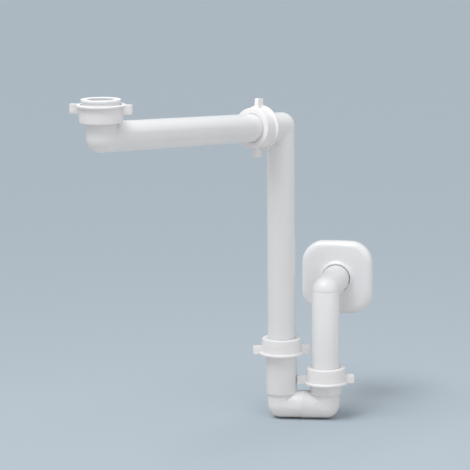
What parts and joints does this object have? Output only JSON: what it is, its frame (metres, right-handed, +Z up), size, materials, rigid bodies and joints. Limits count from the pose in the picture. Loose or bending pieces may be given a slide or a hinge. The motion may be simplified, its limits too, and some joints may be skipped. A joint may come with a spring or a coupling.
{
  "type": "space saving sink trap",
  "caption": "Space saving washbasin trap: long offset inlet arm, slim downpipe set back to the wall, low water trap and level wall outlet with a rounded square wall plate.",
  "frame": {"origin": "centre of the inlet seal's top face, where the basin waste sits", "axes": "+Z up along the inlet, +Y along the outlet pipe into the wall, +X to the right when facing the wall"},
  "size_m": [0.2577, 0.4902, 0.4047],
  "materials": {
    "pipe": "white moulded plastic, satin",
    "nut": "white moulded plastic, satin",
    "wall_plate": "white moulded plastic, semi gloss",
    "slip_ring": "natural plastic, matt",
    "soft_washer": "white soft sealing rubber, matt",
    "cone_seal": "grey soft sealing rubber, matt"
  },
  "bodies": {
    "inlet_seal": {"inlet_seal": "soft_washer"},
    "inlet_arm": {"inlet_arm": "pipe"},
    "inlet_nut": {"inlet_nut": "nut"},
    "downpipe": {"downpipe": "pipe"},
    "trap_bend": {"trap_bend": "pipe"},
    "outlet_pipe": {"outlet_pipe": "pipe"},
    "wall_plate": {"wall_plate": "wall_plate"},
    "arm_nut": {"arm_nut": "nut"},
    "arm_slip_ring": {"arm_slip_ring": "slip_ring"},
    "arm_cone_seal": {"arm_cone_seal": "cone_seal"},
    "downpipe_nut": {"downpipe_nut": "nut"},
    "downpipe_slip_ring": {"downpipe_slip_ring": "slip_ring"},
    "downpipe_cone_seal": {"downpipe_cone_seal": "cone_seal"},
    "outlet_nut": {"outlet_nut": "nut"},
    "outlet_slip_ring": {"outlet_slip_ring": "slip_ring"},
    "outlet_cone_seal": {"outlet_cone_seal": "cone_seal"}
  },
  "joints": [
    {"name": "arm_swing", "type": "hinge", "parent": "inlet_seal", "child": "inlet_arm", "pos_m": [0, 0, 0], "axis": [0, 0, 1], "continuous": true},
    {"name": "inlet_nut_lift", "type": "slide", "parent": "inlet_arm", "child": "inlet_nut", "axis": [0, 0, 1], "range_m": [0, 0.0132]},
    {"name": "arm_slide", "type": "slide", "parent": "inlet_arm", "child": "arm_cone_seal", "axis": [0.3897, 0.918, -0.0732], "range_m": [-0.003, 0.006]},
    {"name": "downpipe_swing", "type": "hinge", "parent": "arm_cone_seal", "child": "downpipe", "pos_m": [0.13171, 0.31029, -0.06419], "axis": [0.3897, 0.918, -0.0732], "continuous": true},
    {"name": "trap_height", "type": "slide", "parent": "downpipe", "child": "downpipe_cone_seal", "axis": [0, 0, -1], "range_m": [-0.018, 0.02]},
    {"name": "trap_turn", "type": "hinge", "parent": "downpipe_cone_seal", "child": "trap_bend", "pos_m": [0.13171, 0.31029, -0.38819], "axis": [0, 0, 1], "continuous": true},
    {"name": "outlet_turn", "type": "hinge", "parent": "trap_bend", "child": "outlet_cone_seal", "pos_m": [0.18252, 0.31474, -0.38819], "axis": [0, 0, 1], "range_deg": [-180, 35]},
    {"name": "outlet_height", "type": "slide", "parent": "outlet_cone_seal", "child": "outlet_pipe", "axis": [0, 0, 1], "range_m": [-0.004, 0.008]},
    {"name": "plate_slide", "type": "slide", "parent": "outlet_pipe", "child": "wall_plate", "axis": [0, 1, 0], "range_m": [-0.03, 0.04]},
    {"name": "arm_nut_travel", "type": "slide", "parent": "downpipe", "child": "arm_slip_ring", "axis": [-0.3897, -0.918, 0.0732], "range_m": [0, 0.01165]},
    {"name": "arm_nut_turn", "type": "hinge", "parent": "arm_slip_ring", "child": "arm_nut", "pos_m": [0.13171, 0.31029, -0.06419], "axis": [-0.3897, -0.918, 0.0732], "range_deg": [0, 1800]},
    {"name": "downpipe_nut_travel", "type": "slide", "parent": "trap_bend", "child": "downpipe_slip_ring", "axis": [0, 0, 1], "range_m": [0, 0.01165]},
    {"name": "downpipe_nut_turn", "type": "hinge", "parent": "downpipe_slip_ring", "child": "downpipe_nut", "pos_m": [0.13171, 0.31029, -0.38819], "axis": [0, 0, 1], "range_deg": [0, 1800]},
    {"name": "outlet_nut_travel", "type": "slide", "parent": "trap_bend", "child": "outlet_slip_ring", "axis": [0, 0, 1], "range_m": [0, 0.01165]},
    {"name": "outlet_nut_turn", "type": "hinge", "parent": "outlet_slip_ring", "child": "outlet_nut", "pos_m": [0.18252, 0.31474, -0.38819], "axis": [0, 0, 1], "range_deg": [0, 1800]}
  ],
  "couplings": [
    {"joint": "arm_nut_travel", "follows": "arm_nut_turn", "m_per_rad": 0.00036749},
    {"joint": "downpipe_nut_travel", "follows": "downpipe_nut_turn", "m_per_rad": 0.00036749},
    {"joint": "outlet_nut_travel", "follows": "outlet_nut_turn", "m_per_rad": 0.00036749}
  ]
}
